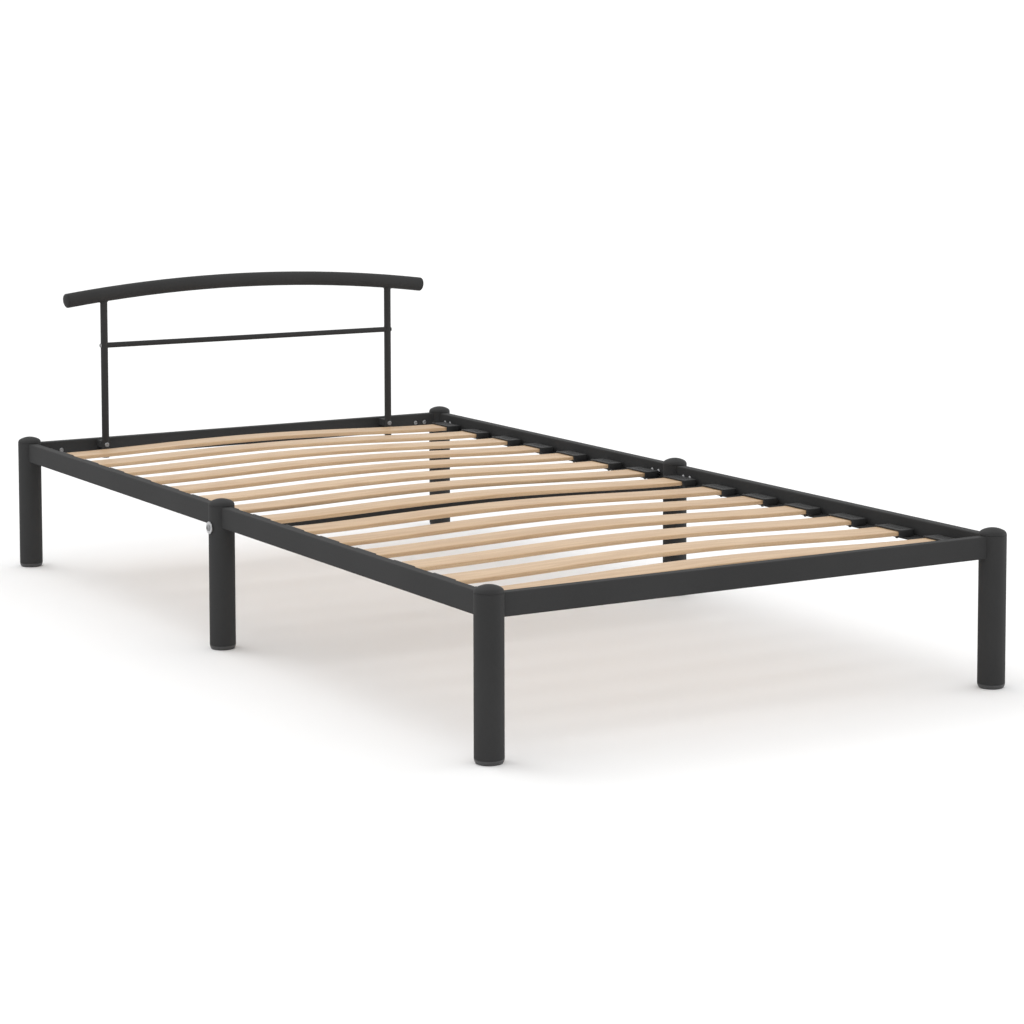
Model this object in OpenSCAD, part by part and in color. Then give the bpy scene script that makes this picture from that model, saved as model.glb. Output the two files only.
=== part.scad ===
// Single bed frame in steel tube: six round legs with rectangular rails between them,
// an arched headboard, and sprung slats whose holders sit on ledges inside the rails.
// Millimetres. +X is to the right for someone who looks from the foot end to the head end,
// +Y points to the head end and +Z up. The origin is on the floor under the bed's centre.

/* [Bed] */
// Distance between the axes of the foot legs and the head legs
leg_span_y = 2050; // [1500:5:2500]
// Distance between the axes of the left legs and the right legs
leg_span_x = 1040; // [850:5:1300]
// Height of the rails' top edge over the floor
rail_top_z = 276; // [200:1:420]

/* [Legs] */
// Outer diameter of a leg tube
leg_d = 50; // [40:1:64]
// Wall of a leg tube
leg_wall = 1.5; // [1:0.25:3]
// Height that a leg tube stands above the rails' top edge
leg_proud = 1; // [0:0.5:10]
// Height of the domed cap above its leg tube
cap_h = 13; // [11:0.5:20]
// Radius of the cap's shoulder, where the dome turns down to the tube
cap_shoulder_r = 9; // [4:0.5:10]
// Height of the glide below its leg tube
glide_h = 8.5; // [6:0.5:15]
// Amount by which the glide's underside is smaller than the tube, on the radius
glide_taper = 2; // [1:0.5:6]
// Radius of the glide's lower edge
glide_edge_r = 2; // [1:0.5:3]
// Length of the shank that a cap or a glide has inside the tube
plug_shank = 18; // [10:1:30]
// Wall of a plastic plug's hollow shank
plug_wall = 2.5; // [1.5:0.5:4]
// Radial clearance of a plug's shank, whose ribs alone touch the tube
plug_clear = 0.4; // [0.2:0.1:1]
// Height of one of those ribs
plug_rib_h = 2; // [1:0.5:3]

/* [Rails] */
// Height of a rail's section
rail_h = 40; // [32:1:60]
// Thickness of a rail's section
rail_t = 20; // [18:1:30]
// Wall of a rail
rail_wall = 1.5; // [1:0.25:3]
// Radius of a rail's outer corners
rail_corner_r = 2.5; // [1:0.25:4]

/* [Joints] */
// Gap between a stub and the rail around it
stub_clear = 0.25; // [0.1:0.05:1]
// Wall of a stub
stub_wall = 2; // [1.5:0.25:3]
// Distance of a joint's first screw from the leg's surface
joint_screw_start = 22; // [15:1:35]
// Distance between a joint's two screws
joint_screw_gap = 24; // [16:1:40]
// Length of a stub beyond its second screw
stub_end = 14; // [8:1:30]
// Thread diameter of the small screws
screw_d = 6; // [5:0.5:8]
// Diameter of a small screw's button head
screw_head_d = 10.5; // [9:0.5:13]
// Height of a small screw's button head
screw_head_h = 3.3; // [2:0.1:5]
// Hexagon key size of a small screw
screw_key = 4; // [3:0.5:5]
// Length of a joint screw under its head
joint_screw_len = 12; // [10:1:14]
// Extra diameter of a hole over the screw in it
hole_clear = 0.4; // [0.2:0.1:1]
// Extra diameter of a nut's bore over the screw in it
thread_clear = 0.1; // [0.05:0.05:0.2]
// Width of a joint nut across its flats
nut_flats = 10; // [9:0.5:12]
// Thickness of a joint nut
nut_h = 5; // [4:0.5:6]

/* [Cross beam] */
// Width of the beam between the mid legs, along the bed
beam_w = 30; // [22:1:40]
// Height of the beam's section
beam_h = 20; // [18:1:26]
// Wall of the beam
beam_wall = 1.5; // [1:0.25:3]
// Radius of the beam's outer corners
beam_corner_r = 2; // [1:0.25:3]
// Height of the beam's axis below the rails' bottom edge
beam_drop = 0.5; // [0:0.5:10]
// Thread diameter of the beam's bolts
beam_bolt_d = 8; // [6:1:10]
// Diameter of a beam bolt's button head
beam_bolt_head_d = 13.5; // [12:0.5:18]
// Height of a beam bolt's button head
beam_bolt_head_h = 4.4; // [3:0.1:6]
// Hexagon key size of a beam bolt
beam_bolt_key = 5; // [4:0.5:6]
// Length that a beam bolt reaches into the beam
beam_bolt_grip = 18; // [12:1:25]
// Diameter of the washer under a beam bolt's head
washer_d = 24; // [18:1:30]
// Thickness of that washer
washer_t = 2; // [1:0.5:3]
// Length of the threaded block in each end of the beam
beam_block_len = 20; // [15:1:30]

/* [Headboard] */
// Diameter of the arched top tube
arch_d = 32; // [25:1:40]
// Wall of the arched tube
arch_wall = 1.5; // [1:0.25:3]
// Distance along X between an upright and the end of the arched tube beside it
arch_overhang = 86; // [30:1:150]
// Height that the arched tube's axis gains from its ends to its middle
arch_rise = 29.4; // [10:0.1:60]
// Height of the arched tube's highest point over the floor
arch_top_z = 638; // [540:1:900]
// Height of an arch plug's crown beyond the tube's end
arch_plug_h = 8; // [6:0.5:12]
// Radius of an arch plug's shoulder
arch_plug_shoulder_r = 5; // [3:0.5:5.5]
// Distance along X between a head leg's axis and the upright beside it
upright_inset = 163; // [110:1:250]
// Diameter of an upright
upright_d = 16; // [14:0.5:22]
// Wall of an upright
upright_wall = 1.5; // [1:0.25:2.5]
// Length of an upright below its lower screw's axis
upright_tail = 8; // [7:0.5:15]
// Thickness of the head of the plug in an upright's lower end
upright_plug_h = 1.5; // [1:0.5:3]
// Gap between that plug and the screw hole above it
upright_plug_gap = 1; // [0.5:0.5:2]
// Thickness of the spacer between an upright and the head rail, at its thinnest
spacer_t = 24.5; // [4:0.5:30]
// Height of a spacer along its upright
spacer_h = 15; // [13:1:18]
// Diameter of the crossbar
crossbar_d = 12; // [10:0.5:16]
// Wall of the crossbar
crossbar_wall = 1.5; // [1:0.25:2.5]
// Height of the crossbar's axis over the floor
crossbar_z = 489; // [400:1:540]
// Length of the threaded insert in each end of the crossbar, from the upright's axis
crossbar_insert_len = 25; // [20:1:40]
// Length that a crossbar screw reaches beyond its upright
crossbar_screw_grip = 16; // [8:1:20]
// Distance between the two screws that hold an upright
upright_screw_gap = 20; // [18:1:24]
// Length that such a screw reaches beyond its spacer
headboard_screw_grip = 12; // [8:1:15]
// Diameter of a rivet nut's body
rivet_nut_d = 9; // [8:0.5:10]
// Length of a rivet nut's body behind its flange
rivet_nut_len = 13; // [8:1:15]
// Diameter of a rivet nut's flange
rivet_nut_flange_d = 11.5; // [10:0.5:13]
// Thickness of a rivet nut's flange
rivet_nut_flange_t = 1; // [0.5:0.25:1.5]

/* [Slats] */
// Number of slats in each half of the bed
slats_per_half = 7; // [5:1:8]
// Length next to each corner leg that is left free of slats
slat_free_end = 24; // [5:1:60]
// Width of a slat
slat_w = 68; // [50:1:84]
// Thickness of a slat
slat_t = 8; // [6:0.5:12]
// Height that an unloaded slat bows up in its middle
slat_camber = 10; // [0:0.5:15]
// Gap between a slat and its holder's pocket, on each side
slat_clear = 0.3; // [0.1:0.1:1]
// Depth of a holder's pocket
pocket_depth = 34; // [20:1:45]
// Wall of a holder
holder_wall = 2.5; // [1.5:0.25:4]
// Radius of a holder's upright edges
holder_corner_r = 5; // [2:0.5:8]
// Gap between a holder and the rail's inner face
holder_inset = 6; // [5:0.5:15]
// Width of a ledge, from the rail inwards
ledge_w = 32; // [28:1:45]
// Thickness of a ledge
ledge_t = 3; // [2:0.5:5]
// Height of a ledge's top over the rails' bottom edge
ledge_rise = 10; // [5:0.5:14]
// Gap between a ledge's end and the leg beside it
ledge_end_gap = 7; // [3:1:15]
// Radius of a ledge's corners
ledge_corner_r = 1; // [0.5:0.5:5]
// Length of ledge that is left beside the first and the last holder
ledge_margin = 2; // [1:1:10]
// Diameter of the peg that holds a slat holder on its ledge
peg_d = 7; // [5:0.5:9]
// Distance of the peg's axis from the holder's end at the rail
peg_inset = 13; // [8:0.5:20]
// Length of a peg below its holder
peg_len = 8; // [5:0.5:12]

/* [Hidden] */
// Curves are drawn with this many sides in a preview, and the long arch with more
$fn = 96;
arch_sides = 256;
// Cuts run this much past the surface that they open, and an arched cut this many degrees
cut = 1;
arch_cut = 0.1;
// Solids that form one piece run this much into each other
lap = 0.5;
// The smallest radius inside a tube's corner
least_corner_r = 0.5;
// Heights of a plug's two ribs, as shares of its shank
rib_places = [0.3, 0.75];
// A screw head's rounded edge and the depth of its key hole, as shares of the head's height
head_edge = 0.55;
key_depth = 0.6;
// A screw head and a domed plug turn over their edge in this many steps, and a glide in fewer
dome_steps = 10;
glide_steps = 6;
// Angle at which a glide's rounded edge ends, and the place of its swollen side,
// as a share of its taper and of its height
glide_turn = -20;
glide_swell = [0.25, 0.6];

leg_x = leg_span_x / 2;
leg_y = leg_span_y / 2;
leg_r = leg_d / 2;
leg_bore_r = leg_r - leg_wall;
leg_top_z = rail_top_z + leg_proud;
rail_bottom_z = rail_top_z - rail_h;
rail_mid_z = rail_top_z - rail_h / 2;
rail_inner_x = leg_x - rail_t / 2;
rail_inner_y = leg_y - rail_t / 2;

stub_h = rail_h - 2 * (rail_wall + stub_clear);
stub_t = rail_t - 2 * (rail_wall + stub_clear);
stub_corner_r = max(rail_corner_r - rail_wall, least_corner_r);
joint_screw_at = [joint_screw_start, joint_screw_start + joint_screw_gap];
stub_len = joint_screw_start + joint_screw_gap + stub_end;

beam_z = rail_bottom_z - beam_drop;

upright_span = leg_span_x - 2 * upright_inset;
upright_x = upright_span / 2;
arch_span = upright_span + 2 * arch_overhang;
arch_r = (pow(arch_span / 2, 2) + pow(arch_rise, 2)) / (2 * arch_rise);
arch_half_angle = asin(arch_span / 2 / arch_r);
arch_axis_z = arch_top_z - arch_d / 2;
arch_centre_z = arch_axis_z - arch_r;
headboard_y = rail_inner_y - spacer_t - upright_d / 2;
headboard_screw_z = [for (side = [-1, 1]) rail_mid_z + side * upright_screw_gap / 2];
upright_bottom_z = headboard_screw_z[0] - upright_tail;
upright_plug_len = upright_tail - (screw_d + hole_clear) / 2 - upright_plug_gap;
crossbar_screw_len = upright_d + crossbar_screw_grip;
headboard_screw_len = upright_d + spacer_t + headboard_screw_grip;

ledge_top_z = rail_bottom_z + ledge_rise;
ledge_start_y = leg_r + ledge_end_gap;
ledge_end_y = leg_y - leg_r - ledge_end_gap;
ledge_mid_y = (ledge_start_y + ledge_end_y) / 2;
ledge_len = ledge_end_y - ledge_start_y;
holder_outer_x = rail_inner_x - holder_inset;
holder_len = pocket_depth + holder_wall;
holder_inner_x = holder_outer_x - holder_len;
holder_w = slat_w + 2 * (slat_clear + holder_wall);
holder_h = slat_t + 2 * (slat_clear + holder_wall);
slat_bottom_z = ledge_top_z + holder_wall + slat_clear;
slat_half_len = holder_outer_x - holder_wall - slat_clear;
peg_x = holder_outer_x - peg_inset;
slat_count = 2 * slats_per_half;
// An odd number, so that a bowed slat's middle step is level
slat_steps = 33;
first_slat_y = ledge_start_y + ledge_margin + holder_w / 2;
last_slat_y = ledge_end_y - ledge_margin - holder_w / 2 - slat_free_end;
slat_pitch = (last_slat_y - first_slat_y) / (slats_per_half - 1);

// Places of the six legs: name, X side and Y side
LEGS = [
    ["foot_left", -1, -1],
    ["foot_right", 1, -1],
    ["mid_left", -1, 0],
    ["mid_right", 1, 0],
    ["head_left", -1, 1],
    ["head_right", 1, 1]
];
// The side rails' four halves: name, X side and Y side
HALVES = [
    ["foot_left", -1, -1],
    ["foot_right", 1, -1],
    ["head_left", -1, 1],
    ["head_right", 1, 1]
];

steel_paint = "#3d3d3f";
black_plastic = "#232325";
bright_steel = "#c4c4c6";
dark_steel = "#6d6d70";
slat_wood = "#d8b98a";

// Points of an arc about (x, y), from angle a0 to angle a1
function arc_points(x, y, r, a0, a1, steps) =
    [for (i = [0:steps]) let (a = a0 + (a1 - a0) * i / steps) [x + r * cos(a), y + r * sin(a)]];

// Radius of the crown that meets a shoulder of radius s smoothly, on a dome of radius a and height h
function crown_r(a, h, s) = (pow(a - s, 2) + h * h - s * s) / (2 * (h - s));

// Half outline of a dome of radius a and height h, from its rim over the shoulder to the axis
function dome_points(a, h, s) =
    let (
        crown = crown_r(a, h, s),
        meet = atan2(crown - h, a - s),
        shoulder = arc_points(a - s, 0, s, 0, meet, dome_steps),
        top = arc_points(0, h - crown, crown, meet, 90, dome_steps)
    )
    concat(shoulder, [for (k = [1:dome_steps]) [max(top[k][0], 0), top[k][1]]]);

// Y of a slat's middle, counted from the foot end
function slat_y(i) =
    i < slats_per_half
    ? -(last_slat_y - i * slat_pitch)
    : first_slat_y + (i - slats_per_half) * slat_pitch;

// Rise of a slat at a distance x from its middle: the curve of a strip clamped level at both ends
function slat_rise(x) =
    abs(x) < holder_inner_x ? slat_camber * pow(1 - pow(x / holder_inner_x, 2), 2) : 0;

module rounded_rect(w, h, r) {
    square([w - 2 * r, h], center = true);
    square([w, h - 2 * r], center = true);
    for (x = [-1, 1], y = [-1, 1])
        translate([x * (w / 2 - r), y * (h / 2 - r)]) circle(r = r);
}

// A rectangular tube of outer size w by h that runs up from z = 0
module box_tube(w, h, wall, corner_r, len) {
    linear_extrude(len) difference() {
        rounded_rect(w, h, corner_r);
        rounded_rect(w - 2 * wall, h - 2 * wall, max(corner_r - wall, least_corner_r));
    }
}

module round_tube(d, wall, len) {
    linear_extrude(len) difference() {
        circle(d = d);
        circle(d = d - 2 * wall);
    }
}

// A domed plug whose rim rests on a tube's end at z = 0, with a ribbed hollow shank below
module domed_plug(tube_d, tube_wall, dome_h, shoulder_r, shank) {
    bore_r = tube_d / 2 - tube_wall;
    shank_r = bore_r - plug_clear;
    rotate_extrude() difference() {
        union() {
            polygon(concat([[0, 0]], dome_points(tube_d / 2, dome_h, shoulder_r)));
            translate([0, -shank]) square([shank_r, shank + lap]);
            for (place = rib_places)
                translate([0, -place * shank - plug_rib_h / 2]) square([bore_r, plug_rib_h]);
        }
        translate([0, -shank - cut]) square([shank_r - plug_wall, shank + cut]);
    }
}

// A button-head screw along +Z: the head's underside is at z = 0 and the shank runs down
module button_screw(d, len, head_d, head_h, key) {
    difference() {
        rotate_extrude() union() {
            polygon(concat([[0, 0]], dome_points(head_d / 2, head_h, head_edge * head_h)));
            translate([0, -len]) square([d / 2, len + lap]);
        }
        translate([0, 0, (1 - key_depth) * head_h]) cylinder(d = key / cos(30), h = head_h, $fn = 6);
    }
}

module small_screw(len) {
    button_screw(screw_d, len, screw_head_d, screw_head_h, screw_key);
}

// Each child is drawn at a leg's axis, with +X along the rail that starts there
// and +Y towards the side of that rail that faces the bed's inside
module at_joints() {
    for (x = [-1, 1]) {
        for (y = [-1, 1]) {
            // Side rail at its outer end, then at the mid leg
            translate([x * leg_x, y * leg_y, rail_mid_z])
                rotate([0, 0, -y * 90]) mirror([0, x * y > 0 ? 1 : 0, 0]) children();
            translate([x * leg_x, 0, rail_mid_z])
                rotate([0, 0, y * 90]) mirror([0, x * y > 0 ? 0 : 1, 0]) children();
            // Head rail or foot rail
            translate([x * leg_x, y * leg_y, rail_mid_z])
                rotate([0, 0, x > 0 ? 180 : 0]) mirror([0, x * y > 0 ? 0 : 1, 0]) children();
        }
    }
}

module leg(leg_side_x, leg_side_y) {
    color(steel_paint) translate([leg_side_x * leg_x, leg_side_y * leg_y, glide_h]) difference() {
        round_tube(leg_d, leg_wall, leg_top_z - glide_h);
        if (leg_side_y == 0)
            translate([0, 0, beam_z - glide_h]) rotate([0, 90, 0])
                cylinder(d = beam_bolt_d + hole_clear, h = leg_d + 2 * cut, center = true);
    }
}

module cap(leg_side_x, leg_side_y) {
    color(black_plastic) translate([leg_side_x * leg_x, leg_side_y * leg_y, leg_top_z])
        domed_plug(leg_d, leg_wall, cap_h, cap_shoulder_r, plug_shank);
}

module glide(leg_side_x, leg_side_y) {
    shank_r = leg_bore_r - plug_clear;
    foot_r = leg_r - glide_taper;
    color(black_plastic) translate([leg_side_x * leg_x, leg_side_y * leg_y, 0])
        rotate_extrude() difference() {
            union() {
                polygon(concat(
                    [[0, 0]],
                    arc_points(
                        foot_r - glide_edge_r, glide_edge_r, glide_edge_r, -90, glide_turn, glide_steps
                    ),
                    [[leg_r - glide_taper * glide_swell[0], glide_h * glide_swell[1]]],
                    [[leg_r, glide_h], [0, glide_h]]
                ));
                translate([0, glide_h - lap]) square([shank_r, plug_shank + lap]);
                for (place = rib_places)
                    translate([0, glide_h + place * plug_shank - plug_rib_h / 2])
                        square([leg_bore_r, plug_rib_h]);
            }
            translate([0, glide_h]) square([shank_r - plug_wall, plug_shank + cut]);
        }
}

// A rail of length len between two leg axes, along +X from the first axis,
// with its ends coped round the legs and the joint screws' holes in its +Y face
module rail(len) {
    difference() {
        rotate([90, 0, 90]) translate([0, 0, leg_r / 2])
            box_tube(rail_t, rail_h, rail_wall, rail_corner_r, len - leg_r);
        for (x = [0, len])
            translate([x, 0, 0]) cylinder(r = leg_r, h = rail_h + 2 * cut, center = true);
        for (at = joint_screw_at, x = [leg_r + at, len - leg_r - at])
            translate([x, rail_t / 2 + cut, 0]) rotate([90, 0, 0])
                cylinder(d = screw_d + hole_clear, h = rail_wall + 2 * cut);
    }
}

module side_rail(x, y) {
    color(steel_paint) translate([x * leg_x, 0, rail_mid_z])
        rotate([0, 0, y * 90]) mirror([0, x * y > 0 ? 0 : 1, 0]) rail(leg_y);
}

module head_rail() {
    color(steel_paint) translate([-leg_x, leg_y, rail_mid_z]) mirror([0, 1, 0]) difference() {
        rail(leg_span_x);
        for (x = [-1, 1], z = headboard_screw_z)
            translate([leg_x + x * upright_x, rail_t / 2 + cut, z - rail_mid_z]) rotate([90, 0, 0])
                cylinder(d = rivet_nut_d, h = rail_wall + 2 * cut);
    }
}

module foot_rail() {
    color(steel_paint) translate([-leg_x, -leg_y, rail_mid_z]) rail(leg_span_x);
}

module joint_stubs() {
    color(dark_steel) at_joints() difference() {
        rotate([90, 0, 90]) translate([0, 0, leg_r / 2])
            box_tube(stub_t, stub_h, stub_wall, stub_corner_r, leg_r / 2 + stub_len);
        cylinder(r = leg_r, h = rail_h, center = true);
        for (at = joint_screw_at)
            translate([leg_r + at, stub_t / 2 + cut, 0]) rotate([90, 0, 0])
                cylinder(d = screw_d + hole_clear, h = stub_wall + 2 * cut);
    }
}

module joint_screws() {
    color(dark_steel) at_joints() for (at = joint_screw_at)
        translate([leg_r + at, rail_t / 2, 0]) rotate([-90, 0, 0]) small_screw(joint_screw_len);
}

module joint_nuts() {
    color(dark_steel) at_joints() for (at = joint_screw_at)
        translate([leg_r + at, stub_t / 2 - stub_wall, 0]) rotate([90, 0, 0]) difference() {
            cylinder(d = nut_flats / cos(30), h = nut_h, $fn = 6);
            translate([0, 0, -cut]) cylinder(d = screw_d + thread_clear, h = nut_h + 2 * cut);
        }
}

module cross_beam() {
    color(steel_paint) translate([0, 0, beam_z]) difference() {
        translate([-leg_x + leg_r / 2, 0, 0]) rotate([90, 0, 90])
            box_tube(beam_w, beam_h, beam_wall, beam_corner_r, leg_span_x - leg_r);
        for (x = [-1, 1])
            translate([x * leg_x, 0, 0]) cylinder(r = leg_r, h = beam_h + 2 * cut, center = true);
    }
}

// Each child is drawn on a mid leg's surface inside the bed, with +X towards the bed's centre
module at_beam_ends() {
    for (x = [-1, 1])
        translate([x * (leg_x - leg_r), 0, beam_z]) rotate([0, 0, x > 0 ? 180 : 0]) children();
}

module cross_beam_blocks() {
    block_w = beam_w - 2 * beam_wall;
    block_h = beam_h - 2 * beam_wall;
    block_corner_r = max(beam_corner_r - beam_wall, least_corner_r);
    color(dark_steel) at_beam_ends() difference() {
        rotate([90, 0, 90]) linear_extrude(beam_block_len)
            rounded_rect(block_w, block_h, block_corner_r);
        translate([-leg_r, 0, 0]) cylinder(r = leg_r, h = beam_h, center = true);
        translate([-cut, 0, 0]) rotate([0, 90, 0])
            cylinder(d = beam_bolt_d + thread_clear, h = beam_block_len + 2 * cut);
    }
}

module cross_beam_bolts() {
    color(dark_steel) at_beam_ends() translate([-leg_d - washer_t, 0, 0]) rotate([0, -90, 0])
        button_screw(
            beam_bolt_d,
            leg_d + washer_t + beam_bolt_grip,
            beam_bolt_head_d,
            beam_bolt_head_h,
            beam_bolt_key
        );
}

module cross_beam_washers() {
    color(bright_steel) at_beam_ends() translate([-leg_d - washer_t, 0, 0]) rotate([0, 90, 0])
        difference() {
            cylinder(d = washer_d, h = washer_t);
            translate([0, 0, -cut]) cylinder(d = beam_bolt_d + hole_clear, h = washer_t + 2 * cut);
        }
}

// An arched rod of diameter d on the arch's axis, over the angle half_angle on each side of the middle
module arch_rod(d, half_angle) {
    translate([0, headboard_y, arch_centre_z]) rotate([90, 0, 0])
        rotate([0, 0, 90 - half_angle])
            rotate_extrude(angle = 2 * half_angle, $fn = arch_sides)
                translate([arch_r, 0]) circle(d = d);
}

module headboard_arch() {
    color(steel_paint) difference() {
        arch_rod(arch_d, arch_half_angle);
        arch_rod(arch_d - 2 * arch_wall, arch_half_angle + arch_cut);
    }
}

module arch_plugs() {
    color(black_plastic) for (side = [-1, 1])
        translate([0, headboard_y, arch_centre_z]) rotate([0, side * arch_half_angle, 0])
            translate([0, 0, arch_r]) rotate([0, side * 90, 0])
                domed_plug(arch_d, arch_wall, arch_plug_h, arch_plug_shoulder_r, plug_shank);
}

module upright(side) {
    arch_drop = arch_r - sqrt(pow(arch_r, 2) - pow(upright_x, 2));
    color(steel_paint) difference() {
        translate([side * upright_x, headboard_y, upright_bottom_z])
            round_tube(upright_d, upright_wall, arch_axis_z - arch_drop - upright_bottom_z);
        arch_rod(arch_d, arch_half_angle);
        for (z = headboard_screw_z)
            translate([side * upright_x, headboard_y, z]) rotate([90, 0, 0])
                cylinder(d = screw_d + hole_clear, h = upright_d + 2 * cut, center = true);
        translate([side * upright_x, headboard_y, crossbar_z]) rotate([0, 90, 0])
            cylinder(d = screw_d + hole_clear, h = upright_d + 2 * cut, center = true);
    }
}

module upright_plugs() {
    color(black_plastic) for (side = [-1, 1])
        translate([side * upright_x, headboard_y, upright_bottom_z]) {
            translate([0, 0, -upright_plug_h]) cylinder(d = upright_d, h = upright_plug_h);
            translate([0, 0, -lap])
                cylinder(d = upright_d - 2 * upright_wall, h = upright_plug_len + lap);
        }
}

module crossbar() {
    color(steel_paint) difference() {
        translate([-upright_x, headboard_y, crossbar_z]) rotate([0, 90, 0])
            round_tube(crossbar_d, crossbar_wall, upright_span);
        for (side = [-1, 1])
            translate([side * upright_x, headboard_y, crossbar_z])
                cylinder(d = upright_d, h = crossbar_d + 2 * cut, center = true);
    }
}

// Each child is drawn at an upright's axis at the crossbar's height, with +X towards the bed's centre
module at_crossbar_ends() {
    for (side = [-1, 1])
        translate([side * upright_x, headboard_y, crossbar_z])
            rotate([0, 0, side > 0 ? 180 : 0]) children();
}

module crossbar_inserts() {
    color(dark_steel) at_crossbar_ends() difference() {
        rotate([0, 90, 0]) cylinder(d = crossbar_d - 2 * crossbar_wall, h = crossbar_insert_len);
        cylinder(d = upright_d, h = crossbar_d, center = true);
        rotate([0, 90, 0]) cylinder(d = screw_d + thread_clear, h = crossbar_insert_len + cut);
    }
}

module crossbar_screws() {
    color(dark_steel) at_crossbar_ends() translate([-upright_d / 2, 0, 0]) rotate([0, -90, 0])
        small_screw(crossbar_screw_len);
}

// Each child is drawn on an upright's surface that faces the head rail, at a screw's height,
// with +X towards the rail
module at_headboard_screws() {
    for (side = [-1, 1], z = headboard_screw_z)
        translate([side * upright_x, headboard_y + upright_d / 2, z]) rotate([0, 0, 90]) children();
}

module headboard_spacers() {
    saddle = upright_d / 4;
    color(black_plastic) at_headboard_screws() difference() {
        translate([-saddle, -upright_d / 2, -spacer_h / 2])
            cube([spacer_t + saddle, upright_d, spacer_h]);
        translate([-upright_d / 2, 0, 0]) cylinder(d = upright_d, h = spacer_h + 2 * cut, center = true);
        translate([-upright_d, 0, 0]) rotate([0, 90, 0])
            cylinder(d = screw_d + hole_clear, h = 2 * upright_d + spacer_t);
        translate([spacer_t - rivet_nut_flange_t, 0, 0]) rotate([0, 90, 0])
            cylinder(d = rivet_nut_flange_d + hole_clear, h = rivet_nut_flange_t + cut);
    }
}

module headboard_rivet_nuts() {
    color(dark_steel) at_headboard_screws() translate([spacer_t, 0, 0]) rotate([0, 90, 0]) difference() {
        union() {
            translate([0, 0, -rivet_nut_flange_t])
                cylinder(d = rivet_nut_flange_d, h = rivet_nut_flange_t);
            translate([0, 0, -lap]) cylinder(d = rivet_nut_d, h = rivet_nut_len + lap);
        }
        translate([0, 0, -2 * cut])
            cylinder(d = screw_d + thread_clear, h = rivet_nut_len + 3 * cut);
    }
}

module headboard_screws() {
    color(dark_steel) at_headboard_screws() translate([-upright_d, 0, 0]) rotate([0, -90, 0])
        small_screw(headboard_screw_len);
}

module ledges(x) {
    color(steel_paint) for (y = [-1, 1]) difference() {
        translate([x * (rail_inner_x - ledge_w / 2), y * ledge_mid_y, ledge_top_z - ledge_t])
            linear_extrude(ledge_t) rounded_rect(ledge_w, ledge_len, ledge_corner_r);
        for (i = [0:slats_per_half - 1])
            translate([x * peg_x, y * (first_slat_y + i * slat_pitch), ledge_top_z - ledge_t - cut])
                cylinder(d = peg_d + hole_clear, h = ledge_t + 2 * cut);
    }
}

// A holder drawn at its slat's middle, with its pocket open towards the bed's centre at -X
module slat_holder() {
    difference() {
        translate([holder_inner_x + holder_len / 2, 0, ledge_top_z])
            linear_extrude(holder_h) rounded_rect(holder_len, holder_w, holder_corner_r);
        translate([holder_inner_x - cut, -slat_w / 2 - slat_clear, ledge_top_z + holder_wall])
            cube([pocket_depth + cut, slat_w + 2 * slat_clear, slat_t + 2 * slat_clear]);
    }
    translate([peg_x, 0, ledge_top_z - peg_len]) cylinder(d = peg_d, h = peg_len + holder_wall / 2);
}

module slat_holders(side) {
    color(black_plastic) for (i = [0:slat_count - 1])
        translate([0, slat_y(i), 0]) mirror([side > 0 ? 0 : 1, 0, 0]) slat_holder();
}

module slat(i) {
    xs = concat(
        [-slat_half_len],
        [for (k = [0:slat_steps]) holder_inner_x * (2 * k / slat_steps - 1)],
        [slat_half_len]
    );
    under = [for (x = xs) [x, slat_rise(x)]];
    over = [for (k = [len(xs) - 1:-1:0]) [xs[k], slat_rise(xs[k]) + slat_t]];
    color(slat_wood) translate([0, slat_y(i) + slat_w / 2, slat_bottom_z])
        rotate([90, 0, 0]) linear_extrude(slat_w) polygon(concat(under, over));
}

for (leg = LEGS) {
    leg(leg[1], leg[2]);
    cap(leg[1], leg[2]);
    glide(leg[1], leg[2]);
}
for (half = HALVES)
    side_rail(half[1], half[2]);
head_rail();
foot_rail();
joint_stubs();
joint_screws();
joint_nuts();
cross_beam();
cross_beam_blocks();
cross_beam_bolts();
cross_beam_washers();
headboard_arch();
arch_plugs();
upright(-1);  // upright_left
upright(1);  // upright_right
upright_plugs();
crossbar();
crossbar_inserts();
crossbar_screws();
headboard_spacers();
headboard_screws();
headboard_rivet_nuts();
ledges(-1);  // ledges_left
ledges(1);  // ledges_right
slat_holders(-1);  // slat_holders_left
slat_holders(1);  // slat_holders_right
for (i = [0:slat_count - 1])
    slat(i);
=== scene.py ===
import math
import random

import bmesh
import bpy
from mathutils import Matrix, Vector


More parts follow.
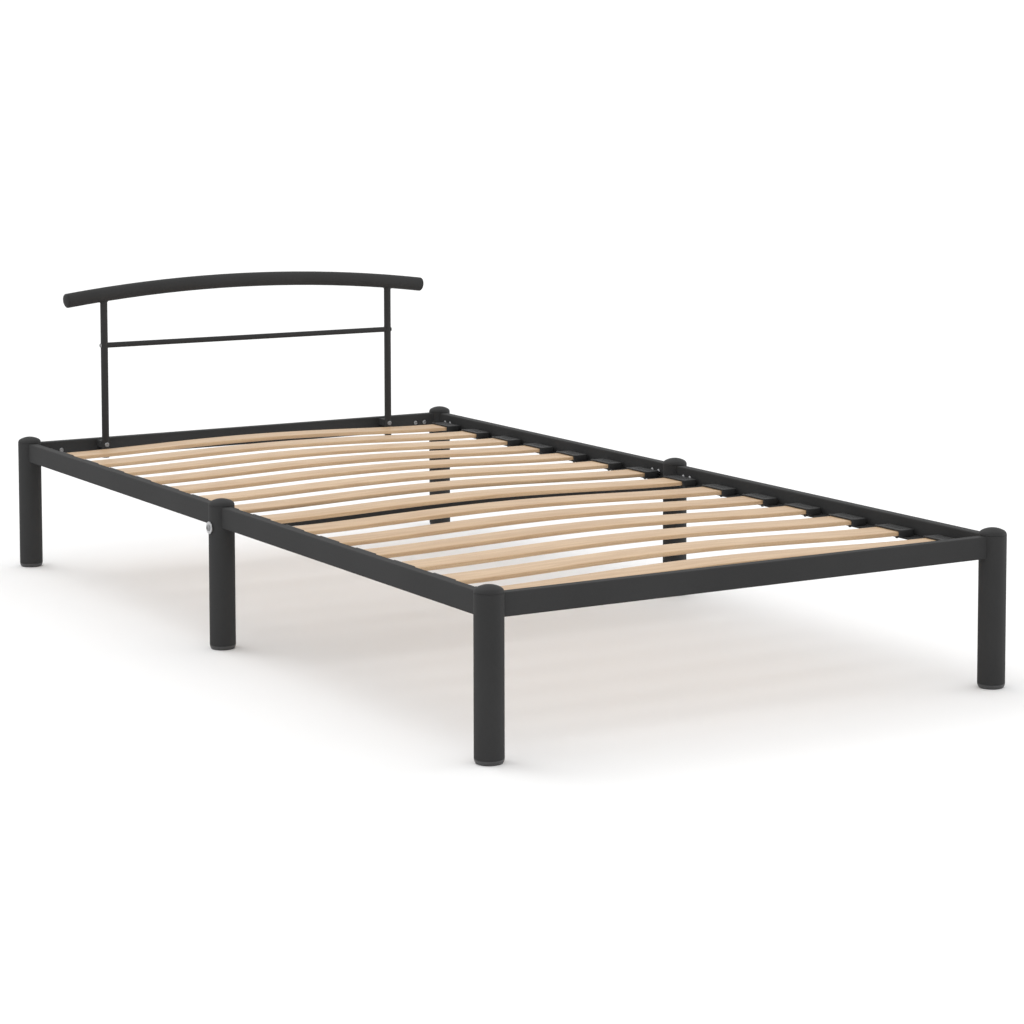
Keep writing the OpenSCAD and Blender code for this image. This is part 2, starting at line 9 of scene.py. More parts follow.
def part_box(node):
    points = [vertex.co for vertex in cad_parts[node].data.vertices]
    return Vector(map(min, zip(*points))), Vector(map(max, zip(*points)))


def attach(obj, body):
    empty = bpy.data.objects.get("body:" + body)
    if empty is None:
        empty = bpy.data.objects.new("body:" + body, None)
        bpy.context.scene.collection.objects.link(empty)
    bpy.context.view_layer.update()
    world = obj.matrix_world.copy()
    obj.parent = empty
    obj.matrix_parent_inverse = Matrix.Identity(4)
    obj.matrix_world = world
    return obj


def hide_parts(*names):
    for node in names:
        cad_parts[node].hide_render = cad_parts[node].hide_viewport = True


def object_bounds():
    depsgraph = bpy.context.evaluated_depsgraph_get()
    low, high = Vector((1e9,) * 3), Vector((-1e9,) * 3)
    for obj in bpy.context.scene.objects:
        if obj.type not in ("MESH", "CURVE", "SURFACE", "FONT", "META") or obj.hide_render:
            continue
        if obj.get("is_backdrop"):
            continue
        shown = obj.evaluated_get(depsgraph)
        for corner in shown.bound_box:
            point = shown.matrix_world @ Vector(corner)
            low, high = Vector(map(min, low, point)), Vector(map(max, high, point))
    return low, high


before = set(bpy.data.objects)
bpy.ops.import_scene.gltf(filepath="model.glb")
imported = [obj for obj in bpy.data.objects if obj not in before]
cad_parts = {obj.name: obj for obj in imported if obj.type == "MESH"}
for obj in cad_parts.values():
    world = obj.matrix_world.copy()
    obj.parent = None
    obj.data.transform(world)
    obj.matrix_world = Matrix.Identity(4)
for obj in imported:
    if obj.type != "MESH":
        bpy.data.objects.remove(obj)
cad_low, cad_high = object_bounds()

# Legs: six lengths of 50 mm round steel tube, cut square. They are powder coated in a matt
# anthracite with a fine texture, as all the steel of the bed is, and carry the welded joint stubs.


class Signal:
    """A value that changes over a surface: one output socket of a node."""

    def __init__(self, socket):
        self.socket = socket

    def maths(self, operation, *values):
        node = self.socket.id_data.nodes.new("ShaderNodeMath")
        node.operation = operation
        for plug, value in zip(node.inputs, values):
            connect(plug, value)
        return Signal(node.outputs[0])

    def __add__(self, other):
        return self.maths("ADD", self, other)

    def __sub__(self, other):
        return self.maths("SUBTRACT", self, other)

    def __rsub__(self, other):
        return self.maths("SUBTRACT", other, self)

    def __mul__(self, other):
        return self.maths("MULTIPLY", self, other)

    def __gt__(self, other):
        return self.maths("GREATER_THAN", self, other)

    def __lt__(self, other):
        return self.maths("LESS_THAN", self, other)

    __radd__ = __add__
    __rmul__ = __mul__


def connect(plug, value):
    if isinstance(value, Signal):
        plug.id_data.links.new(value.socket, plug)
    else:
        plug.default_value = value


class Finish:
    """A material with one Principled surface, and the nodes that feed it."""

    def __init__(self, name, values):
        self.material = bpy.data.materials.new(name)
        self.material.use_nodes = True
        self.surface = self.material.node_tree.nodes["Principled BSDF"]
        self.feed(values)

    def feed(self, values):
        for plug, value in values.items():
            connect(self.surface.inputs[plug], value)

    def node(self, kind, settings, values, output=0):
        made = self.material.node_tree.nodes.new(kind)
        for key, value in settings.items():
            setattr(made, key, value)
        for plug, value in values.items():
            connect(made.inputs[plug], value)
        return Signal(made.outputs[output])

    def place(self):
        return self.node("ShaderNodeTexCoord", {}, {}, "Object")

    def stretched(self, place, along):
        return self.node("ShaderNodeVectorMath", {"operation": "MULTIPLY"}, {0: place, 1: along})

    def noise(self, place, scale, detail=2.0, roughness=0.5):
        values = {"Vector": place, "Scale": scale, "Detail": detail, "Roughness": roughness}
        return self.node("ShaderNodeTexNoise", {}, values)

    def blend(self, share, first, second):
        # A colour Mix node holds its factor at input 0, its colours at 6 and 7, its result at 2
        return self.node("ShaderNodeMix", {"data_type": "RGBA"}, {0: share, 6: first, 7: second}, 2)

    def ramp(self, value, low, high):
        values = {"Value": value, "From Min": low, "From Max": high}
        return self.node("ShaderNodeMapRange", {"interpolation_type": "SMOOTHSTEP"}, values)

    def relief(self, height):
        return self.node("ShaderNodeBump", {}, {"Strength": 1.0, "Distance": 1.0, "Height": height})


def grey(shade, blue=1.0):
    """A grey with a little more or less blue in it."""
    return (shade, shade, shade * blue, 1)


def powder_coat(name, shade):
    """Matt polyester powder: a fine pimpled skin over a slow, shallow waviness."""
    coat = Finish(name, {"Specular IOR Level": 0.16, "IOR": 1.5})
    place = coat.place()
    drift = coat.noise(place, 5.0, 3.0)
    waves = coat.noise(place, 210.0, 1.0)
    pimples = coat.noise(place, 1100.0, 2.0, 0.6)
    speckle = 0.5 * coat.ramp(drift, 0.3, 0.7) + 0.5 * coat.ramp(pimples, 0.3, 0.7)
    coat.feed({
        "Base Color": coat.blend(speckle, grey(shade * 0.84, 1.006), grey(shade * 1.16, 1.0086)),
        "Roughness": 0.66 + 0.1 * (drift - 0.5) + 0.14 * pimples,
        "Normal": coat.relief(0.00011 * waves + 0.00008 * pimples),
    })
    return coat.material


def paint(node, material):
    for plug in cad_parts[node].material_slots:
        plug.material = material


steel_coat = powder_coat("anthracite_powder_coat", 0.031)
CORNERS = [end + "_" + side for end in ("foot", "mid", "head") for side in ("left", "right")]
for corner in CORNERS:
    paint("leg_" + corner, steel_coat)
paint("joint_stubs", steel_coat)

# Leg caps: domed plugs of moulded black plastic, pressed into the tops of the legs. The dome's rim
# is undercut a little, which leaves a fine shadow line between the cap and its tube.


def moulded_plastic(name, shade, roughness):
    """Injection-moulded polymer: soft flow marks under a fine spark-eroded mould texture."""
    plastic = Finish(name, {"Specular IOR Level": 0.2, "IOR": 1.48})
    place = plastic.place()
    flow = plastic.noise(place, 28.0, 2.0)
    texture = plastic.noise(place, 1900.0, 1.0)
    plastic.feed({
        "Base Color": plastic.blend(flow, grey(shade * 0.85, 1.012), grey(shade * 1.15, 1.009)),
        "Roughness": roughness + 0.12 * (flow - 0.5) + 0.08 * texture,
        "Normal": plastic.relief(0.00001 * texture + 0.00002 * flow),
    })
    return plastic.material


def circle(radius, height, sides):
    """One ring of points round the Z axis, or the one point on it."""
    if radius == 0:
        return [Vector((0, 0, height))]
    turns = [math.tau * k / sides for k in range(sides)]
    return [Vector((radius * math.cos(a), radius * math.sin(a), height)) for a in turns]


def skin(mesh, rings, place=Matrix.Identity(4)):
    """Covers a row of rings with faces. A wide ring at an end is capped with one more."""
    rows = [[mesh.verts.new(place @ point) for point in ring] for ring in rings]
    for row, after in zip(rows, rows[1:]):
        for k in range(max(len(row), len(after))):
            corners = [row[k % len(row)], row[(k + 1) % len(row)]]
            corners += [after[(k + 1) % len(after)], after[k % len(after)]]
            mesh.faces.new(list(dict.fromkeys(corners)))
    for row in (rows[0], rows[-1]):
        if len(row) > 2:
            mesh.faces.new(row)


def turned(mesh, outline, place=Matrix.Identity(4), sides=96):
    """A solid turned about Z, from (radius, height) points that start and end on the axis."""
    skin(mesh, [circle(radius, height, sides) for radius, height in outline], place)


def arc(x, y, radius, start, end, steps):
    """Points of an arc about (x, y), between two angles in degrees."""
    angles = [math.radians(start + (end - start) * k / steps) for k in range(steps + 1)]
    return [(x + radius * math.cos(a), y + radius * math.sin(a)) for a in angles]


def piece(name, mesh, material, stands_for, sharp=32):
    """A finished solid: smooth but for its sharp edges, riding on the frame."""
    bmesh.ops.recalc_face_normals(mesh, faces=mesh.faces)
    data = bpy.data.meshes.new(name)
    mesh.to_mesh(data)
    mesh.free()
    data.shade_smooth()
    data.set_sharp_from_angle(angle=math.radians(sharp))
    data.materials.append(material)
    solid = bpy.data.objects.new(name, data)
    bpy.context.scene.collection.objects.link(solid)
    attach(solid, "root")
    if stands_for:
        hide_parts(*stands_for)
    return solid


def dome(radius, height, shoulder, undercut):
    """Half outline of a plug's dome: its undercut rim, its shoulder, then its crown to the axis."""
    crown = ((radius - shoulder) ** 2 + height**2 - shoulder**2) / (2 * (height - shoulder))
    meet = math.degrees(math.atan2(crown - height, radius - shoulder))
    lip = math.degrees(math.asin(undercut / shoulder))
    rim = [(radius - undercut, 0), (radius - undercut, undercut * 0.45)]
    side = arc(radius - shoulder, 0, shoulder, lip, meet, 16)
    top = arc(0, height - crown, crown, meet, 90, 24)[1:-1]
    return rim + side + top + [(0, height)]


plug_clearance = 0.0004
plug_wall = 0.0025
plug_length = 0.018
plug_rib = 0.002
plug_rib_places = (0.75, 0.3)
plug_lead_in = 0.0006
plug_lead_up = 0.0008
plug_roof = 0.0001


def hollow_shank(bore, roof):
    """Half outline of a plug's ribbed shank, from the roof of its hollow out and up to the rim."""
    outer = bore - plug_clearance
    line = [(0, -roof), (outer - plug_wall, 0), (outer - plug_wall, -plug_length)]
    line += [(outer - plug_lead_in, -plug_length), (outer, -plug_length + plug_lead_up)]
    for share in plug_rib_places:
        middle = -share * plug_length
        line += [(outer, middle - plug_rib / 2), (bore, middle - plug_rib / 4)]
        line += [(bore, middle + plug_rib / 4), (outer, middle + plug_rib / 2)]
    return line + [(outer, 0)]


leg_r = 0.025
leg_bore = 0.0235
cap_h = 0.013
cap_shoulder = 0.009
cap_seam = 0.0007

black_plastic = moulded_plastic("moulded_black_plastic", 0.027, 0.64)
cap_outline = hollow_shank(leg_bore, plug_roof) + dome(leg_r, cap_h, cap_shoulder, cap_seam)
for corner in CORNERS:
    leg_low, leg_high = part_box("leg_" + corner)
    cap = bmesh.new()
    middle = (leg_low + leg_high) / 2
    turned(cap, cap_outline, Matrix.Translation((middle.x, middle.y, leg_high.z)))
    piece("moulded_cap_" + corner, cap, black_plastic, ["cap_" + corner])

# Glides: feet of the same plastic in the legs' lower ends, glossier than the caps and painted a
# lighter grey as a painted reflection of the pale floor. Each tapers to the floor with a full,
# rounded side, and a fine shadow line parts it from its tube.

# Painted reflection: a base grey of 0.068 against the caps' 0.027 stands in for the floor's light
# on the glides' sides
glide_plastic_painted_reflection = moulded_plastic("moulded_glide_plastic_painted_reflection", 0.068, 0.4)
glide_h = 0.0085
glide_base_r = 0.023
glide_edge = 0.002
glide_side = [(0.0236, 0.0029), (0.0242, 0.0043), (0.02465, 0.0056)]
glide_widest_r = 0.0249
glide_widest_z = 0.0068
glide_shoulder = 0.0012
glide_neck_r = 0.0236
glide_neck_z = 0.0081
glide_outline = [(0, 0), (glide_base_r - glide_edge, 0)]
glide_outline += arc(glide_base_r - glide_edge, glide_edge, glide_edge, -75, -15, 6)
glide_outline += glide_side
glide_outline += arc(glide_widest_r - glide_shoulder, glide_widest_z, glide_shoulder, 0, 80, 6)
glide_outline += [(glide_neck_r, glide_neck_z), (glide_neck_r, glide_h)]
shank = hollow_shank(leg_bore, roof=0)
glide_outline += [(radius, glide_h - height) for radius, height in reversed(shank)]
for corner in CORNERS:
    leg_low, leg_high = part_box("leg_" + corner)
    middle = (leg_low + leg_high) / 2
    glide = bmesh.new()
    turned(glide, glide_outline, Matrix.Translation((middle.x, middle.y, 0)))
    piece("moulded_glide_" + corner, glide, glide_plastic_painted_reflection, ["glide_" + corner])

# Rails: flat-sided steel tube of 40 by 20 mm. The sides come in two halves that butt against the
# mid leg. All ends are coped round the legs and slide over stubs, where inside screws hold them.

for half in ("foot_left", "foot_right", "head_left", "head_right"):
    paint("side_rail_" + half, steel_coat)
for rail in ("foot_rail", "head_rail"):
    paint(rail, steel_coat)

# Joint screws: M6 button heads with a hexagon socket, two at each rail end, on the rails' inner
# faces, and their nuts inside the stubs. The finish is a dull zinc plate.


def plated_steel(name, shade, roughness, patches):
    """Zinc plate: metal with a cloudy, very slightly pitted skin."""
    plate = Finish(name, {"Metallic": 1.0})
    place = plate.place()
    clouds = plate.noise(place, 190.0, 3.0)
    pits = plate.noise(place, 2400.0, 1.0)
    plate.feed({
        "Base Color": plate.blend(clouds, grey(shade * 0.84, 1.012), grey(shade * 1.1, 1.018)),
        "Roughness": roughness + patches * (clouds - 0.5) + 0.06 * pits,
        "Normal": plate.relief(0.000006 * pits + 0.000008 * clouds),
    })
    return plate.material


def hexagon(key, height, sides):
    """A ring of points on a hexagon that measures key across its flats."""
    ring = circle(1, height, sides)
    for k, point in enumerate(ring):
        off_flat = (math.tau * k / sides + math.pi / 6) % (math.pi / 3) - math.pi / 6
        reach = key / 2 / math.cos(off_flat)
        ring[k] = Vector((point.x * reach, point.y * reach, height))
    return ring


def button_screw(mesh, place, thread, length, head_d, head_h, key, sides=48):
    """A button-head screw along Z, with its head's underside at z = 0 and its shank below."""
    edge = 0.0003
    shank = [(0, -length), (thread / 2 - 2 * edge, -length), (thread / 2, -length + 2 * edge)]
    shank += [(thread / 2, -edge), (thread / 2 + edge, 0), (head_d / 2 - edge, 0)]
    shoulder = head_h * 0.55
    crown = ((head_d / 2 - shoulder) ** 2 + head_h**2 - shoulder**2) / (2 * (head_h - shoulder))
    meet = math.degrees(math.atan2(crown - head_h, head_d / 2 - shoulder))
    mouth = key / math.sqrt(3) + edge
    over = arc(head_d / 2 - shoulder, 0, shoulder, 8, meet, 8)
    top = [p for p in arc(0, head_h - crown, crown, meet, 90, 24)[1:] if p[0] > mouth]
    rings = [circle(radius, height, sides) for radius, height in shank + over + top]
    brim = top[-1][1]
    rings += [circle(mouth, brim, sides), hexagon(key, brim - edge, sides)]
    bottom = head_h * 0.4
    rings += [hexagon(key, bottom, sides), hexagon(key * 0.9, bottom * 0.9, sides)]
    rings.append(circle(0, bottom * 0.7, sides))
    skin(mesh, rings, place)


def pointing(direction, at):
    """The placing that turns Z to a direction and moves the origin to a point."""
    turn = Vector((0, 0, 1)).rotation_difference(Vector(direction)).to_matrix().to_4x4()
    return Matrix.Translation(at) @ turn


screw_plate = plated_steel("dull_zinc_plate", 0.27, 0.36, 0.16)
rail_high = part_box("foot_rail")[1].z
rail_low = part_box("foot_rail")[0].z
rail_mid = (rail_high + rail_low) / 2
rail_face_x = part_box("side_rail_foot_right")[0].x
rail_face_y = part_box("head_rail")[0].y
leg_x = (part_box("leg_foot_right")[0].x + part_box("leg_foot_right")[1].x) / 2
leg_y = (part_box("leg_head_right")[0].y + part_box("leg_head_right")[1].y) / 2
small_screw = dict(thread=0.006, head_d=0.0105, head_h=0.0033, key=0.004)
joint_screw_length = 0.012
joint_screw_places = (0.022, 0.046)
joint_screws = bmesh.new()
for side in (-1, 1):
    for distance in joint_screw_places:
        reach = leg_r + distance
        for y in (-leg_y + reach, -reach, reach, leg_y - reach):
            at = (side * rail_face_x, y, rail_mid)
            inward = pointing((-side, 0, 0), at)
            button_screw(joint_screws, inward, length=joint_screw_length, **small_screw)
        for end in (-1, 1):
            at = (side * (leg_x - reach), end * rail_face_y, rail_mid)
            inward = pointing((0, -end, 0), at)
            button_screw(joint_screws, inward, length=joint_screw_length, **small_screw)
piece("rail_screws", joint_screws, screw_plate, ["joint_screws"])
paint("joint_nuts", screw_plate)

# Cross beam: a 30 by 20 mm tube between the mid legs, just under the rails. An M8 bolt through each
# mid leg draws it tight, over a wide, flat, bright washer.

paint("cross_beam", steel_coat)
paint("cross_beam_blocks", steel_coat)
bright_zinc = plated_steel("bright_zinc_plate", 0.48, 0.32, 0.12)

beam_low, beam_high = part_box("cross_beam")
beam_z = (beam_low.z + beam_high.z) / 2
washer_r = 0.012
washer_bore = 0.0042
washer_t = 0.002
washer_edge = 0.0004
washer_ease = 0.3 * washer_edge
washer_outline = [
    (washer_bore, 0),
    (washer_r, 0),
    (washer_r, washer_t - washer_edge),
    (washer_r - washer_ease, washer_t - washer_ease),
    (washer_r - washer_edge, washer_t),
    (washer_bore + washer_ease, washer_t),
    (washer_bore, washer_t - washer_ease),
]
beam_bolt = dict(thread=0.008, length=0.07, head_d=0.0135, head_h=0.0044, key=0.005)


def closed_skin(mesh, rings, place=Matrix.Identity(4)):
    """Covers a row of like rings that ends where it begins."""
    rows = [[mesh.verts.new(place @ point) for point in ring] for ring in rings]
    for row, after in zip(rows, rows[1:] + rows[:1]):
        for k in range(len(row)):
            mesh.faces.new((row[k], row[k - 1], after[k - 1], after[k]))


washers = bmesh.new()
bolts = bmesh.new()
for side in (-1, 1):
    out = pointing((side, 0, 0), (side * (leg_x + leg_r), 0, beam_z))
    closed_skin(washers, [circle(radius, z, 96) for radius, z in washer_outline], out)
    button_screw(bolts, out @ Matrix.Translation((0, 0, washer_t)), **beam_bolt)
piece("beam_washers", washers, bright_zinc, ["cross_beam_washers"])
piece("beam_bolts", bolts, screw_plate, ["cross_beam_bolts"])

# Headboard: a bent 32 mm top tube over two 16 mm uprights, welded together and coated as one.
# A ripple of weld metal runs round each upright where it meets the arched tube.

for tube in ("headboard_arch", "upright_left", "upright_right"):
    paint(tube, steel_coat)

headboard_y = (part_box("headboard_arch")[0].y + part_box("headboard_arch")[1].y) / 2
arch_tube_r = 0.016
arch_chord = 0.886
arch_rise = 0.0294
arch_r = ((arch_chord / 2) ** 2 + arch_rise**2) / (2 * arch_rise)
arch_centre_z = cad_high.z - arch_tube_r - arch_r
upright_x = (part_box("upright_right")[0].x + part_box("upright_right")[1].x) / 2
upright_r = 0.008
ripple_pitch = 0.0019
ripple_share = 0.09
weld_root = 0.3
head_weld = 0.0016
head_weld_steps = 144


def weld(mesh, path, size, closed):
    """A rippled fillet of weld metal. The path holds a point and the directions of two faces."""
    rings, run, before = [], 0.0, path[0][0]
    for point, one, other in path:
        run += (point - before).length
        before = point
        crest = size * (1 + ripple_share * abs(math.sin(math.pi * run / ripple_pitch)))
        ring = [point - weld_root * size * (one + other)]
        for k in range(6):
            angle = math.radians(90 * k / 5)
            lean = one * math.cos(angle) + other * math.sin(angle)
            bulge = 0.84 + 0.16 * abs(math.cos(2 * angle))
            ring.append(point + lean * crest * bulge)
        rings.append(ring)
    if closed:
        closed_skin(mesh, rings)
    else:
        skin(mesh, rings)


head_welds = bmesh.new()
for side in (-1, 1):
    path = []
    for k in range(head_weld_steps):
        turn = math.tau * k / head_weld_steps
        out = Vector((math.cos(turn), math.sin(turn), 0))
        x = side * upright_x + upright_r * out.x
        off = upright_r * out.y
        ring_r = arch_r - math.sqrt(arch_tube_r**2 - off**2)
        height = math.sqrt(ring_r**2 - x**2)
        point = Vector((x, headboard_y + off, arch_centre_z + height))
        spoke = Vector((x, 0, height)).normalized() * arch_r
        axis = Vector((spoke.x, headboard_y, arch_centre_z + spoke.z))
        normal = (point - axis).normalized()
        along = (out - out.dot(normal) * normal).normalized()
        path.append((point, Vector((0, 0, -1)), along))
    weld(head_welds, path, head_weld, closed=True)
piece("headboard_welds", head_welds, steel_coat, [])

# Arch plugs: round black plugs with a full dome, which close the two ends of the top tube.

arch_bore = 0.0145
arch_plug_h = 0.008
arch_plug_shoulder = 0.005
arch_plug_seam = 0.0005
arch_plug_outline = hollow_shank(arch_bore, plug_roof)
arch_plug_outline += dome(arch_tube_r, arch_plug_h, arch_plug_shoulder, arch_plug_seam)
arch_half = math.asin(arch_chord / 2 / arch_r)
arch_plugs = bmesh.new()
for side in (-1, 1):
    end = Vector((side * math.sin(arch_half) * arch_r, headboard_y, 0))
    end.z = arch_centre_z + math.cos(arch_half) * arch_r
    axis = (side * math.cos(arch_half), 0, -math.sin(arch_half))
    turned(arch_plugs, arch_plug_outline, pointing(axis, end))
piece("moulded_arch_plugs", arch_plugs, black_plastic, ["arch_plugs"])
paint("upright_plugs", black_plastic)

# Crossbar: a thin round tube between the uprights. A button-head screw from outside each upright
# runs into a threaded insert in the bar's end.

paint("crossbar", steel_coat)
paint("crossbar_inserts", screw_plate)
bar_low, bar_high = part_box("crossbar")
bar_z = (bar_low.z + bar_high.z) / 2
bar_screw_length = 0.032
bar_screws = bmesh.new()
for side in (-1, 1):
    at = (side * (upright_x + upright_r), headboard_y, bar_z)
    button_screw(bar_screws, pointing((side, 0, 0), at), length=bar_screw_length, **small_screw)
piece("crossbar_button_screws", bar_screws, screw_plate, ["crossbar_screws"])

# Headboard fixing: two screws at each upright's foot, each through the tube and its own saddle
# spacer into a rivet nut in the head rail. The spacers are moulded, with softened edges.

paint("headboard_spacers", black_plastic)
spacer_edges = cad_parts["headboard_spacers"].modifiers.new("moulded_edges", "BEVEL")
spacer_edges.width = 0.0008
spacer_edges.segments = 3
spacer_edges.limit_method = "ANGLE"
spacer_edges.angle_limit = math.radians(40)
paint("headboard_rivet_nuts", screw_plate)
foot_screw_length = 0.0525
foot_screw_shift = 0.01
foot_screws = bmesh.new()
for side in (-1, 1):
    for shift in (-foot_screw_shift, foot_screw_shift):
        at = pointing((0, -1, 0), (side * upright_x, headboard_y - upright_r, rail_mid + shift))
        button_screw(foot_screws, at, length=foot_screw_length, **small_screw)
piece("upright_foot_screws", foot_screws, screw_plate, ["headboard_screws"])

# Ledges: flat steel strips along the side rails' inner faces, fixed by short stitches of weld
# and punched for the slat holders' pegs.

ledge_low, ledge_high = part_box("ledges_right")
paint("ledges_left", steel_coat)
paint("ledges_right", steel_coat)
holder_low, holder_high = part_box("slat_holders_right")
slat_boxes = [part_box("slat_%d" % k) for k in range(1, 15)]
slat_ys = [(low.y + high.y) / 2 for low, high in slat_boxes]
stitch_half = 0.0115
stitch_size = 0.003
stitch_tip = 0.12
stitch_steps = 52
stitches = bmesh.new()
gaps = [(a + b) / 2 for a, b in zip(slat_ys, slat_ys[1:]) if a * b > 0]
for side in (-1, 1):
    for gap in gaps:
        path = []
        for k in range(stitch_steps + 1):
            share = 2 * k / stitch_steps - 1
            point = Vector((side * rail_face_x, gap + share * stitch_half, ledge_high.z))
            taper = max(1 - abs(share) ** 6, stitch_tip)
            path.append((point, Vector((0, 0, taper)), Vector((-side * taper, 0, 0))))
        weld(stitches, path, stitch_size, closed=False)
piece("ledge_welds", stitches, steel_coat, [])

# Slat holders: moulded sleeves that grip the slats' ends, with a thicker lip round the pocket,
# three grip ribs on top, and a barbed peg that snaps through its hole in the ledge.


def rounded(x, half_w, low, high, radius, steps=4):
    """A ring across X: a rounded rectangle from low to high and half_w to each side."""
    ring = []
    middle, half_h = (low + high) / 2, (high - low) / 2
    for a, (sy, sz) in zip((0, 90, 180, 270), ((1, 1), (-1, 1), (-1, -1), (1, -1))):
        y, z = sy * (half_w - radius), middle + sz * (half_h - radius)
        ring += [Vector((x, *p)) for p in arc(y, z, radius, a, a + 90, steps)]
    return ring


sleeve_plastic = moulded_plastic("moulded_sleeve_plastic", 0.026, 0.48)
sleeve_wall = 0.0025
pocket_depth = 0.034
sleeve_half_w = (slat_boxes[0][1].y - slat_boxes[0][0].y) / 2 + 0.0028
pocket_half_w = sleeve_half_w - sleeve_wall
pocket_low = holder_high.z - 0.0111
pocket_high = holder_high.z - sleeve_wall
sleeve_low = ledge_high.z
lip = 0.0008
lip_w = 0.003
mouth_cut = 0.0006
end_r = 0.005
end_drop = 0.0012
grip_start = 0.013
grip_pitch = 0.005
grip_half_w = 0.024
grip_profile = ((-0.0009, 0.0004), (-0.0005, 0), (0.0005, 0), (0.0009, 0.0004))
peg_inset = 0.013
peg_r = 0.0033
barb_r = 0.0041
peg_tip = [(0, 0), (0.0022, 0), (0.003, 0.0012)]


def sleeve(mesh, place):
    """A holder at its slat's middle, with its pocket open towards -X and its back at x = 0."""
    mouth = -(holder_high.x - holder_low.x)
    rings = []
    for k in range(6, -1, -1):
        turn = math.radians(15 * k)
        drop = end_drop * (1 - math.cos(turn))
        x, w = -end_r + end_r * math.sin(turn), sleeve_half_w - end_r * (1 - math.cos(turn))
        rings.append(rounded(x, w, sleeve_low + drop, holder_high.z - drop, 0.0014))
    outer = [(mouth + lip_w + lip, 0), (mouth + lip_w, lip), (mouth + mouth_cut, lip)]
    for x, rise in outer:
        rings.append(rounded(x, sleeve_half_w + rise, sleeve_low, holder_high.z + rise, 0.0016))
    rings.append(rounded(mouth, sleeve_half_w, sleeve_low + mouth_cut, holder_high.z, 0.0012))
    flare = pocket_half_w + mouth_cut
    rings.append(rounded(mouth, flare, pocket_low - mouth_cut, pocket_high + mouth_cut, 0.001))
    for x in (mouth + 0.0008, mouth + pocket_depth):
        rings.append(rounded(x, pocket_half_w, pocket_low, pocket_high, 0.0006))
    skin(mesh, rings, place)
    top = holder_high.z
    for k in range(3):
        x = mouth + grip_start + grip_pitch * k
        ridge = [
            rounded(x + dx, grip_half_w - inset, top - 0.001, top + 0.0006 - inset, 0.0003, 2)
            for dx, inset in grip_profile
        ]
        skin(mesh, ridge, place)
    barb = [(radius, ledge_low.z - 0.005 + rise) for radius, rise in peg_tip]
    barb += [(barb_r, ledge_low.z - 0.0012), (barb_r, ledge_low.z - 0.0004)]
    barb += [(peg_r, ledge_low.z - 0.0002), (peg_r, sleeve_low + 0.001), (0, sleeve_low + 0.001)]
    turned(mesh, barb, place @ Matrix.Translation((-peg_inset, 0, 0)), 32)


for side, name in ((-1, "left"), (1, "right")):
    sleeves = bmesh.new()
    for y in slat_ys:
        around = Matrix.Rotation(0 if side > 0 else math.pi, 4, "Z")
        sleeve(sleeves, Matrix.Translation((side * holder_high.x, y, 0)) @ around)
    stands_for = ["slat_holders_" + name]
    piece("moulded_sleeves_" + name, sleeves, sleeve_plastic, stands_for)

# Slats: sprung strips of six glued beech veneers, bent so that they bow up in the middle, with
# rounded long edges that show the veneers. Each is cut from a different stretch of wood.

slat_t = 0.008
slat_half_w = (slat_boxes[0][1].y - slat_boxes[0][0].y) / 2
slat_edge = 0.0026
slat_end_cut = 0.0012
slat_steps = 64
plies = 6
bow = slat_boxes[0][1].z - slat_boxes[0][0].z - slat_t


def bent_beech():
    """Rotary-cut beech: long soft figure, short brown flecks, and glue lines on the edges."""
    wood = Finish("bent_beech_veneer", {"Specular IOR Level": 0.45, "Coat Roughness": 0.35})
    place = wood.node("ShaderNodeAttribute", {"attribute_name": "veneer"}, {}, "Vector")
    tone = wood.node("ShaderNodeAttribute", {"attribute_name": "tone"}, {}, "Fac")
    depth = wood.node("ShaderNodeSeparateXYZ", {}, {0: place}, "Z")
    drift = wood.noise(wood.stretched(place, (2.2, 22.0, 60.0)), 1.0, 3.0)
    figure = drift.maths("SINE", 46.0 * drift) * 0.5 + 0.5
    fibre = wood.noise(wood.stretched(place, (26.0, 900.0, 900.0)), 1.0, 3.0, 0.6)
    flecks = wood.noise(wood.stretched(place, (210.0, 1500.0, 1500.0)), 1.0, 1.0)
    fleck = wood.ramp(flecks, 0.6, 0.72)
    # Glue lines lie between the plies, never on the two faces
    ply = slat_t / plies
    layer = depth.maths("FRACT", depth * (1 / ply))
    line = layer.maths("ABSOLUTE", layer - 0.5) > 0.43
    glue = line * (depth > ply * 0.6) * (depth < slat_t - ply * 0.6)
    pale = wood.blend(tone, (0.6, 0.43, 0.262, 1), (0.54, 0.37, 0.212, 1))
    deep = wood.blend(tone, (0.44, 0.285, 0.158, 1), (0.38, 0.235, 0.122, 1))
    colour = wood.blend(0.45 * figure + 0.5 * fibre, pale, deep)
    colour = wood.blend(0.5 * fleck, colour, (0.33, 0.18, 0.085, 1))
    colour = wood.blend(0.55 * glue, colour, (0.2, 0.105, 0.05, 1))
    wood.feed({
        "Base Color": colour,
        "Roughness": 0.44 + 0.14 * fibre + 0.1 * fleck + 0.1 * glue,
        "Coat Weight": 0.12,
        "Normal": wood.relief(0.00004 * fibre - 0.00003 * fleck - 0.00005 * glue),
    })
    return wood.material


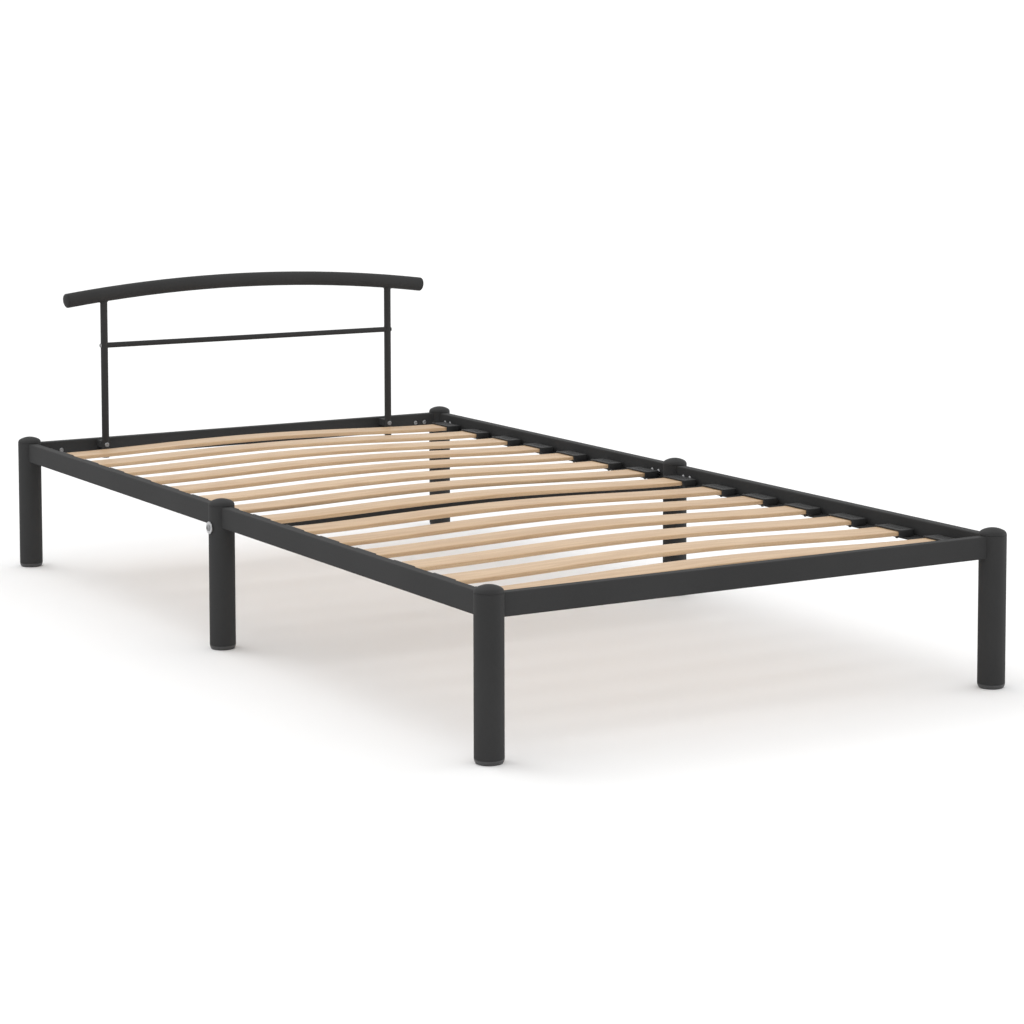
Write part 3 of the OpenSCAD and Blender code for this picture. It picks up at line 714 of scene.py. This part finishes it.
beech = bent_beech()
lots = random.Random(14)
for k, (low, high) in enumerate(slat_boxes, 1):
    half_len, y = high.x, (low.y + high.y) / 2
    stations = [holder_low.x * (2 * n / slat_steps - 1) for n in range(slat_steps + 1)]
    ends = [(-half_len, slat_end_cut), (-half_len + slat_end_cut, 0)]
    rows = ends + [(x, 0) for x in stations] + [(-x, cut) for x, cut in reversed(ends)]
    slat = bmesh.new()
    rings = [
        rounded(x, slat_half_w - cut, cut, slat_t - cut, slat_edge - cut) for x, cut in rows
    ]
    skin(slat, rings)
    straight = [vert.co.copy() for vert in slat.verts]
    for vert in slat.verts:
        share = min(abs(vert.co.x) / holder_low.x, 1)
        vert.co += Vector((0, y, low.z + bow * (1 - share**2) ** 2))
    strip = piece("beech_slat_%d" % k, slat, beech, ["slat_%d" % k], sharp=40)
    shift = Vector((lots.uniform(0, 30), lots.uniform(0, 30), 0))
    veneer = strip.data.attributes.new("veneer", "FLOAT_VECTOR", "POINT")
    veneer.data.foreach_set("vector", [c for point in straight for c in point + shift])
    tone = strip.data.attributes.new("tone", "FLOAT", "POINT")
    tone.data.foreach_set("value", [lots.random()] * len(straight))

# Studio: a wide pale floor under an even white sky, with a large soft light behind and above, a
# weaker one to each side, and the camera low at the foot end.

floor_paint = Finish("pale_floor", {"Base Color": grey(0.86), "Roughness": 0.9})
ground = bmesh.new()
floor_half = 60.0
corners = ((-1, -1), (1, -1), (1, 1), (-1, 1))
ground.faces.new([ground.verts.new((floor_half * x, floor_half * y, 0)) for x, y in corners])
floor_mesh = bpy.data.meshes.new("studio_floor")
ground.to_mesh(floor_mesh)
ground.free()
floor_mesh.materials.append(floor_paint.material)
floor = bpy.data.objects.new("studio_floor", floor_mesh)
bpy.context.scene.collection.objects.link(floor)
floor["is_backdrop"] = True

world = bpy.data.worlds.new("white_sky")
bpy.context.scene.world = world
world.use_nodes = True
sky = world.node_tree.nodes["Background"]
sky.inputs["Color"].default_value = (1, 1, 1, 1)
sky.inputs["Strength"].default_value = 1.12


def light(kind, name, at, size, strength):
    lamp = bpy.data.lights.new(name, kind)
    lamp.energy = strength
    if kind == "SUN":
        lamp.angle = size
    else:
        lamp.shape, lamp.size = "DISK", size
    fixture = bpy.data.objects.new(name, lamp)
    fixture.location = at
    fixture.rotation_euler = (-Vector(at)).to_track_quat("-Z", "Y").to_euler()
    bpy.context.scene.collection.objects.link(fixture)


light("SUN", "rear_skylight", (-1.5, 4.0, 6.0), math.radians(35), 0.6)
light("AREA", "left_softbox", (-6.0, 0.4, 1.4), 3.0, 18)
light("AREA", "right_softbox", (5.8, -2.2, 1.0), 3.0, 80)

lens = bpy.data.cameras.new("studio_camera")
lens.sensor_width = 36.0
lens.lens = 97.81
lens.shift_x = -0.045
lens.shift_y = -0.22
lens.clip_end = 200.0
camera = bpy.data.objects.new("studio_camera", lens)
yaw, pitch, roll = math.radians(31.294), math.radians(4.655), math.radians(-0.03)
aim = Matrix.Rotation(-yaw, 4, "Z") @ Matrix.Rotation(math.pi / 2 - pitch, 4, "X")
stand = Matrix.Translation((-2.704, -4.8312, 1.1236))
camera.matrix_world = stand @ aim @ Matrix.Rotation(roll, 4, "Z")
bpy.context.scene.collection.objects.link(camera)
bpy.context.scene.camera = camera
bpy.context.scene.view_settings.view_transform = "Standard"

low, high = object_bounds()
